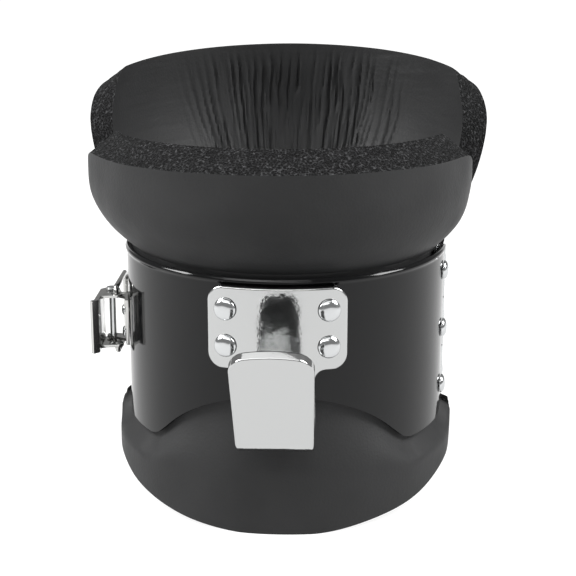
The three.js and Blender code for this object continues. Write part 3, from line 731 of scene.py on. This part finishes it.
# %% [markdown]
# ## The hook
#
# The hook starts as a flat T-shaped blank with rounded arrises. I draw its outline, round the edge
# with a few offset rings, cut the blank across with fine lines so that it can bend, and then roll its
# plate to the shell and bend its strap down, out and up again. The last step maps every vertex at
# once: a height along the blank and a depth in the metal become a place on the bent centre line.

# %% Draw the flat blank
HOOK_LOW, HOOK_HIGH = box("hook")
METAL = 4.5 * MM
PLATE_R = SHELL_R + AIR + METAL / 2
PLATE_HALF = asin((HOOK_HIGH[0] - HOOK_LOW[0]) / 2 / (PLATE_R + METAL / 2)) * PLATE_R
PLATE_LONG = 34.5 * MM
PLATE_TOP = HOOK_HIGH[2]
PLATE_CORNER, NECK_FILLET, TIP_CORNER = 6.5 * MM, 4.0 * MM, 6.0 * MM
NECK_HALF, TIP_HALF = 15.0 * MM, 16.2 * MM
BEND_R = 8.5 * MM + METAL / 2
BEND_START = PLATE_LONG + 16.6 * MM
BEND_TURN = pi - radians(29)
TONGUE, TIP_BOW = 47.0 * MM, 2.4 * MM
BLANK_LONG = BEND_START + BEND_R * BEND_TURN + TONGUE
ARRIS = 0.9 * MM


def corner_arc(x, y, radius, start, stop, count=12):
    """Points of an arc and their outward normals; a negative radius makes an inner corner."""
    turn = np.radians(np.linspace(start, stop, count))
    out = np.stack([np.cos(turn), np.sin(turn)], axis=-1)
    return np.array([x, y]) + abs(radius) * out, np.sign(radius) * out


def blank_outline():
    """The right half of the T from its top to its tip, then the left half back, with outward normals."""
    arcs = [
        corner_arc(PLATE_HALF - PLATE_CORNER, -PLATE_CORNER, PLATE_CORNER, 90, 0),
        corner_arc(PLATE_HALF - PLATE_CORNER, -PLATE_LONG + PLATE_CORNER, PLATE_CORNER, 0, -90),
        corner_arc(NECK_HALF + NECK_FILLET, -PLATE_LONG - NECK_FILLET, -NECK_FILLET, 90, 180),
        corner_arc(TIP_HALF - TIP_CORNER, -BLANK_LONG + TIP_CORNER, TIP_CORNER, 0, -90),
    ]
    right = np.concatenate([points for points, _ in arcs])
    normals = np.concatenate([normal for _, normal in arcs])
    mirror = np.array([-1.0, 1.0])
    left, left_normals = (right * mirror)[::-1], (normals * mirror)[::-1]
    return np.concatenate([right, left]), np.concatenate([normals, left_normals])


def flat_blank():
    """A solid T: rings of the outline carried round the arris, closed by one face on each side."""
    outline, normals = blank_outline()
    turn = np.radians([90, 66, 42, 20, 0])
    inset = ARRIS * (1 - np.cos(turn))
    depth = METAL / 2 - ARRIS + ARRIS * np.sin(turn)
    inset = np.concatenate([inset, inset[::-1]])
    depth = np.concatenate([depth, -depth[::-1]])
    flat = outline[None, :, :] - normals[None, :, :] * inset[:, None, None]
    rings = np.concatenate([flat, np.broadcast_to(depth[:, None, None], flat.shape[:2] + (1,))], axis=-1)
    count = rings.shape[1]
    faces = grid_faces(len(depth), count, closed_columns=True).tolist()
    faces.append(list(range(count)))
    faces.append(list(range((len(depth) - 1) * count, len(depth) * count))[::-1])
    mesh = bpy.data.meshes.new("blank")
    mesh.from_pydata(rings.reshape(-1, 3).tolist(), [], faces)
    return mesh


def cut_across(mesh, places, axis):
    """Cuts the blank along lines at the given places, so that it has something to bend."""
    work = bmesh.new()
    work.from_mesh(mesh)
    bmesh.ops.recalc_face_normals(work, faces=work.faces)
    normal = [0.0, 0.0, 0.0]
    normal[axis] = 1.0
    for place in places:
        spot = [0.0, 0.0, 0.0]
        spot[axis] = place
        bmesh.ops.bisect_plane(work, geom=work.verts[:] + work.edges[:] + work.faces[:], dist=1e-7,
                               plane_co=spot, plane_no=normal)
    work.to_mesh(mesh)
    work.free()
    return mesh


# %% Roll and bend it


def bent(points):
    """Flat points (x, minus the length from the top, depth) to the bent hook; the tip gets its bow."""
    x, length, depth = points[:, 0], -points[:, 1], points[:, 2]
    bow = ease((length - BLANK_LONG + 2 * TIP_CORNER) / (2 * TIP_CORNER))
    length = length + TIP_BOW * bow * (1 - (x / TIP_HALF) ** 2)
    turned = np.clip((length - BEND_START) / BEND_R, 0, BEND_TURN)
    past = np.maximum(length - BEND_START - BEND_R * BEND_TURN, 0)
    out_y, out_z = -np.cos(turned), np.sin(turned)
    line_y = -PLATE_R - BEND_R - BEND_R * out_y - past * out_z
    line_z = PLATE_TOP - np.minimum(length, BEND_START) - BEND_R * out_z + past * out_y
    crown = np.maximum(1 - ease((length - BEND_START) / (BEND_R * BEND_TURN * 0.6)), 1e-4) / PLATE_R
    side = np.sin(crown * x) / crown + depth * np.sin(crown * x)
    out = depth * np.cos(crown * x) - (1 - np.cos(crown * x)) / crown
    return np.stack([AXIS_X + side, AXIS_Y + line_y + out * out_y, line_z + out * out_z], axis=-1)


blank = flat_blank()
plate_cuts = np.arange(4.0, 46.0, 6.0) * MM
bend_cuts = np.arange(BEND_START - 1 * MM, BLANK_LONG - TONGUE + 3 * MM, 0.7 * MM)
tongue_cuts = BLANK_LONG - np.arange(8.0, 38.0, 7.0) * MM
cut_across(blank, -np.concatenate([plate_cuts, bend_cuts, tongue_cuts]), 1)
cut_across(blank, np.arange(-27.0, 28.0, 1.8) * MM, 0)
flat = np.empty(len(blank.vertices) * 3)
blank.vertices.foreach_get("co", flat)
blank.vertices.foreach_set("co", bent(flat.reshape(-1, 3)).ravel())
blank.polygons.foreach_set("use_smooth", np.full(len(blank.polygons), True))
hook = bpy.data.objects.new("hook_chromed", blank)
bpy.context.scene.collection.objects.link(hook)
hook.modifiers.new("flat faces shade flat", "WEIGHTED_NORMAL").weight = 90
dress(hook, "front_half", CHROME, ["hook"])
print("hook blank:", round(BLANK_LONG * 1000, 1), "mm long, faces:", len(blank.polygons))

# %% [markdown]
# ## Rivets
#
# Every rivet is turned: a low dome, a shank and a flat tail. The frame has them with few sides, so I
# turn finer ones in the same places. The tool that closed the head leaves a small flat on its crown.
# The radii of the flat, the shank and the tail are shares of the head's radius.

# %% Turn the rivets
CROWN_FLAT, SHANK, TAIL = 0.16, 0.42, 0.7


def rivet(name, node, body, material):
    """A finer copy of a frame rivet, turned about the same radial axis."""
    points = node_points(node) - np.array([AXIS_X, AXIS_Y, 0.0])
    middle = points.mean(axis=0)
    angle = np.arctan2(middle[0], -middle[1])
    outward = np.array([sin(angle), -cos(angle), 0.0])
    along = points @ outward
    across = np.linalg.norm(points - along[:, None] * outward - middle * [0, 0, 1], axis=1)
    tail, crown, head = along.min(), along.max(), across.max()
    seat = along[across > head * 0.99].min()
    rise = crown - seat
    turn = np.radians(np.linspace(0, 90, 12))
    dome_r = head * (CROWN_FLAT + (1 - CROWN_FLAT) * np.cos(turn))
    dome_x = seat + rise * np.sin(turn)
    stem_r = np.array([0.0, TAIL, TAIL, SHANK, SHANK, 0.97]) * head
    stem_x = [tail, tail, tail + 0.2 * rise, tail + 0.25 * rise, seat, seat]
    profile_r = np.concatenate([stem_r, dome_r, [0.0]])
    profile_x = np.concatenate([stem_x, dome_x, [crown]])
    spin = np.linspace(0, 2 * pi, 40, endpoint=False)
    side = np.array([cos(angle), sin(angle), 0.0])
    up = np.array([0.0, 0.0, 1.0])
    ring = np.cos(spin)[None, :, None] * side + np.sin(spin)[None, :, None] * up
    placed = (profile_x[:, None, None] * outward + profile_r[:, None, None] * ring
              + np.array([AXIS_X, AXIS_Y, middle[2]]))
    piece = mesh_object(name, placed, grid_faces(*placed.shape[:2], closed_columns=True))
    weld = piece.modifiers.new("close the poles", "WELD")
    weld.merge_threshold = 0.01 * MM
    finish_edges(piece, 0.12 * MM, 2)
    return dress(piece, body, material, [node])


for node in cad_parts:
    if "rivet" in node:
        on_front = "front" in node or "hook" in node or "base" in node
        rivet(node + "_turned", node, "front_half" if on_front else "rear_half", ZINC)
print("rivets:", sum("rivet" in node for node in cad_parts))

# %% [markdown]
# ## Hinge and latch
#
# These pieces are stamped from thin sheet. The frame already has their true outlines, so I take a
# copy of each mesh, join its split vertices, merge its flat triangles and round the arrises that
# tumbling would round. The bail is one wire with proper bends, so it is swept afresh.

# %% Polished copies of the stamped parts


def polished(name, node, body, material, width):
    """A copy of a frame piece's mesh with joined vertices, merged flats and rounded arrises."""
    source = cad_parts[node]
    mesh = source.data.copy()
    mesh.transform(source.matrix_world)
    work = bmesh.new()
    work.from_mesh(mesh)
    bmesh.ops.remove_doubles(work, verts=work.verts, dist=0.005 * MM)
    bmesh.ops.dissolve_limit(work, angle_limit=radians(2), verts=work.verts, edges=work.edges)
    work.to_mesh(mesh)
    work.free()
    mesh.polygons.foreach_set("use_smooth", np.full(len(mesh.polygons), True))
    piece = bpy.data.objects.new(name, mesh)
    bpy.context.scene.collection.objects.link(piece)
    finish_edges(piece, width, 3)
    return dress(piece, body, material, [node])


for node, body, slot, material, width in (
        ("latch_base", "front_half", "latch_plate", NICKEL, 0.25),
        ("latch_lever", "latch_lever", "latch_plate", NICKEL, 0.3),
        ("catch_plate", "rear_half", "latch_plate", NICKEL, 0.25),
        ("latch_pivot_pin", "front_half", "rivet_zinc", ZINC, 0.15),
        ("hinge_leaf_front", "front_half", "rivet_zinc", ZINC, 0.2),
        ("hinge_leaf_rear", "rear_half", "rivet_zinc", ZINC, 0.2),
        ("hinge_pin", "front_half", "rivet_zinc", ZINC, 0.15)):
    polished(node + "_plated", node, body, material, width * MM)

# %% Sweep the bail


def bail():
    """A round wire along a flat path of stub, leg, bar, leg and stub, with round bends."""
    wire, bend = 1.2 * MM, 2.6 * MM
    low, high = box("latch_bail")
    reach = high[1] - low[1] - 2 * wire
    half = (high[2] - low[2]) / 2 - wire
    stub = 10.7 * MM
    turn = np.radians(np.linspace(0, 90, 9))
    near = np.stack([bend * (1 - np.sin(turn))[::-1], half - bend * (1 - np.cos(turn))[::-1]], axis=-1)
    far = np.stack([reach - bend * (1 - np.sin(turn)), half - bend * (1 - np.cos(turn))], axis=-1)
    upper = np.concatenate([[[0.0, stub]], near, far])
    path = np.concatenate([upper, (upper * [1.0, -1.0])[::-1]])
    step = np.gradient(path, axis=0)
    step = step / np.linalg.norm(step, axis=1, keepdims=True)
    spin = np.linspace(0, 2 * pi, 20, endpoint=False)
    in_plane = np.stack([-step[:, 1], step[:, 0]], axis=-1)
    offset = path[:, None, :] + wire * np.cos(spin)[None, :, None] * in_plane[:, None, :]
    x = 0.5 * (low[0] + high[0]) + wire * np.sin(spin)[None, :] + np.zeros(offset.shape[:2])
    y, z = low[1] + wire + offset[..., 0], 0.5 * (low[2] + high[2]) + offset[..., 1]
    points = np.stack([x, y, z], axis=-1)
    count = points.shape[1]
    faces = grid_faces(len(path), count, closed_columns=True).tolist()
    faces.append(list(range(count)))
    faces.append(list(range((len(path) - 1) * count, len(path) * count))[::-1])
    mesh = bpy.data.meshes.new("bail")
    mesh.from_pydata(points.reshape(-1, 3).tolist(), [], faces)
    mesh.polygons.foreach_set("use_smooth", np.full(len(mesh.polygons), True))
    piece = bpy.data.objects.new("latch_bail_wire", mesh)
    bpy.context.scene.collection.objects.link(piece)
    return piece


dress(bail(), "latch_bail", NICKEL, ["latch_bail"])

# %% [markdown]
# ## The two boxes
#
# The finished looks should fill the same box as the frame, give or take the softness of the foam.

# %% Print the frame's box and the finished box
FINISHED_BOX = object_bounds()
boxes = [[list(map(float, corner)) for corner in pair] for pair in (CAD_BOX, FINISHED_BOX)]
for label, pair in zip(("frame", "finished"), boxes):
    print(label, [[round(value, 4) for value in corner] for corner in pair])
